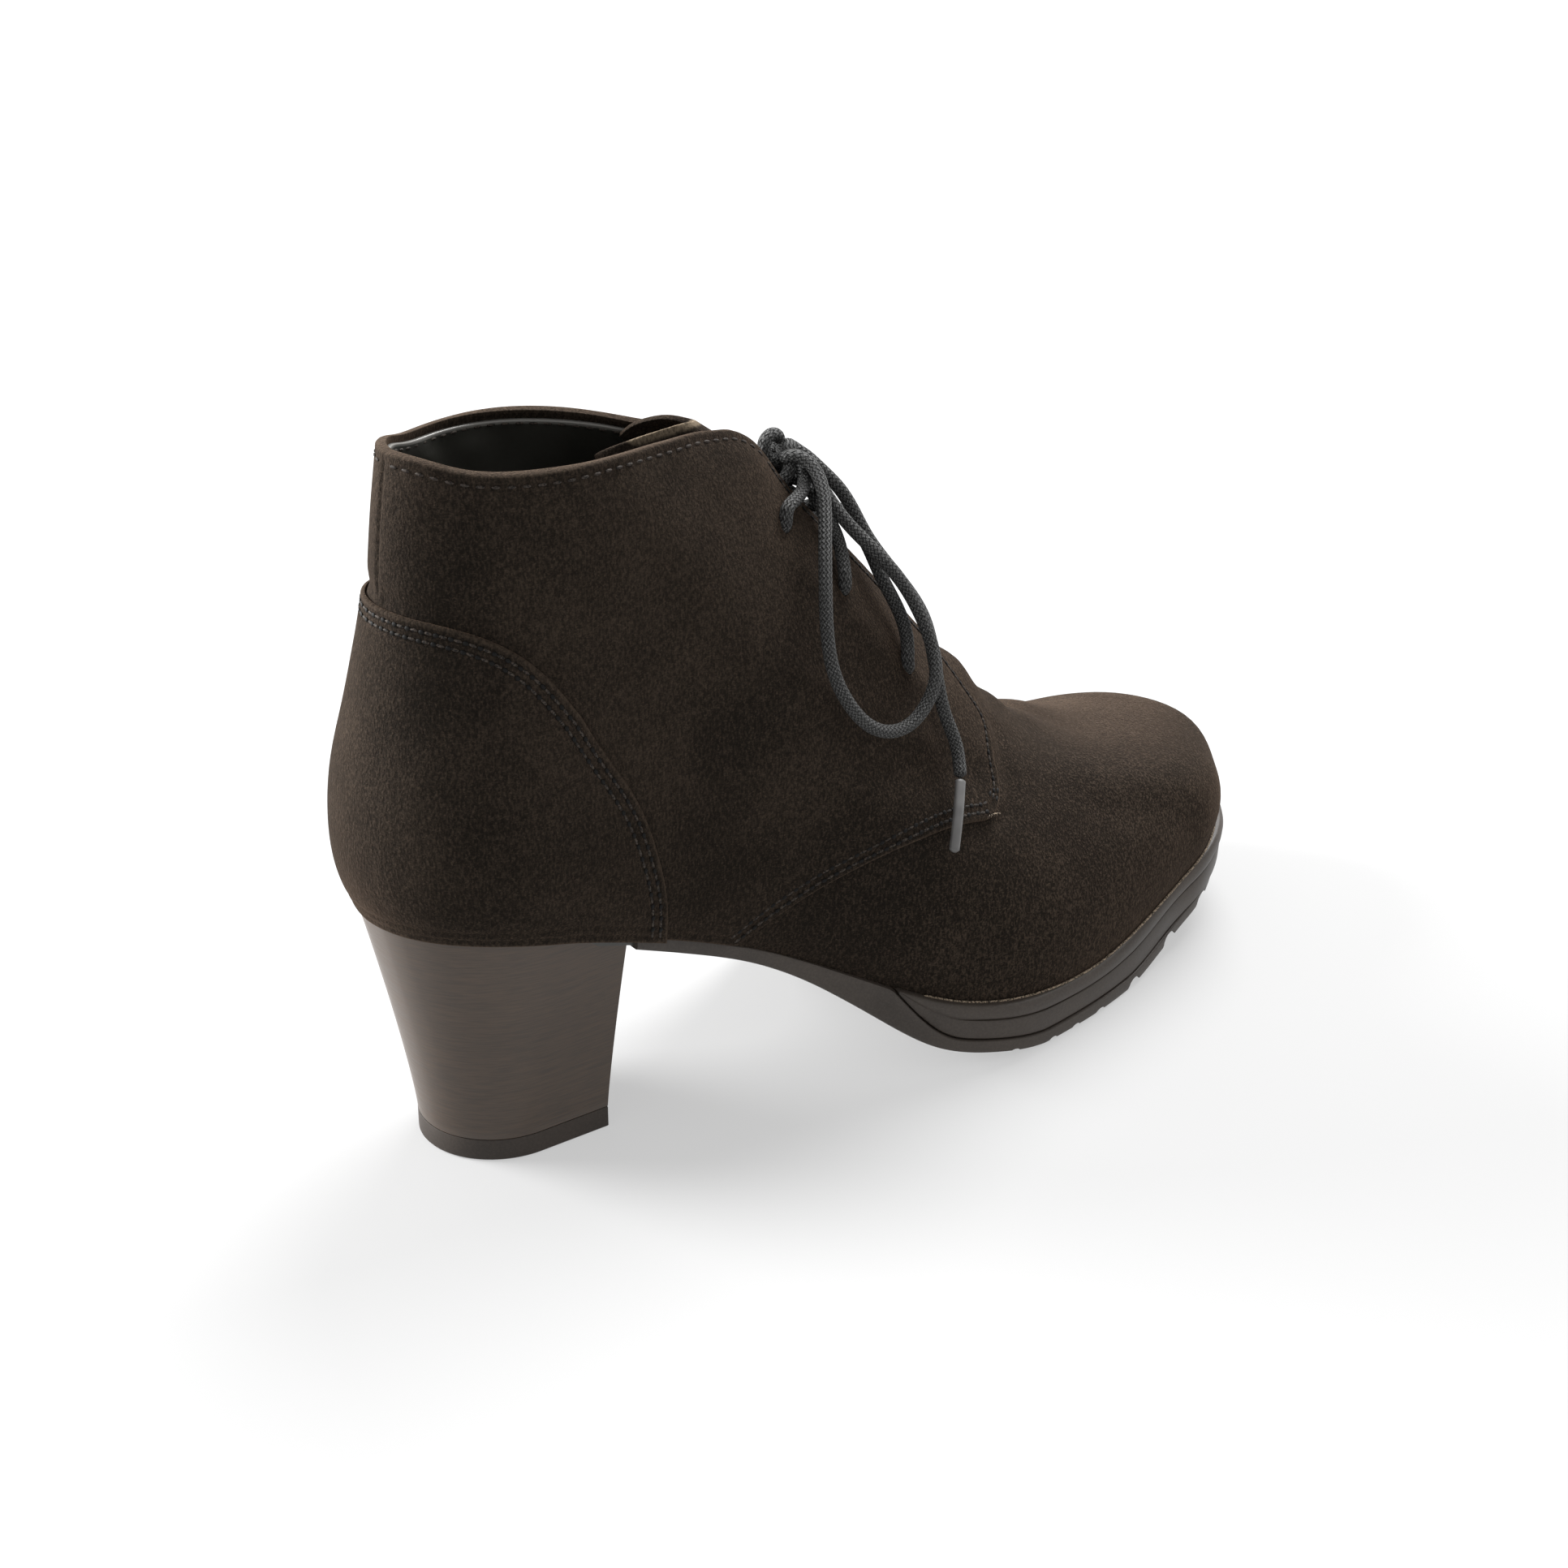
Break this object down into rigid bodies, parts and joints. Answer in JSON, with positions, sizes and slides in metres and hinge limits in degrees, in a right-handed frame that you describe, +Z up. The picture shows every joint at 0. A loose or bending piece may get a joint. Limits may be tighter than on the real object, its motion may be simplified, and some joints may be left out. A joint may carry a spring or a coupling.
{
  "type": "ankle boot",
  "caption": "Lace-up suede ankle boot for the right foot, with a block heel, a rubber forefoot platform, a lugged outsole and an open collar tied with a round cord bow.",
  "frame": {"origin": "on the floor, under the middle of the boot's box", "axes": "+X from heel to toe, +Y from the outer (lateral) side to the inner (medial) side, +Z up"},
  "size_m": [0.2455, 0.087, 0.1642],
  "materials": {
    "suede": "matt, napped",
    "lining": "smooth, semi-gloss",
    "sole_rubber": "satin",
    "heel_stack": "semi-gloss, stacked layers",
    "heel_rubber": "matt",
    "lace": "waxed braid",
    "aglet": "satin film"
  },
  "bodies": {
    "root": {"upper": "suede", "quarter_lateral": "suede", "quarter_medial": "suede", "counter": "suede", "tongue": "suede", "insole": "lining", "platform": "sole_rubber", "outsole": "sole_rubber", "heel_block": "heel_stack", "heel_top_piece": "heel_rubber", "lace_bars": "lace", "lace_knot": "lace", "lace_loop_lateral": "lace", "lace_loop_medial": "lace", "lace_end_lateral": "lace", "lace_end_medial": "lace", "aglet_lateral": "aglet", "aglet_medial": "aglet"}
  },
  "joints": []
}
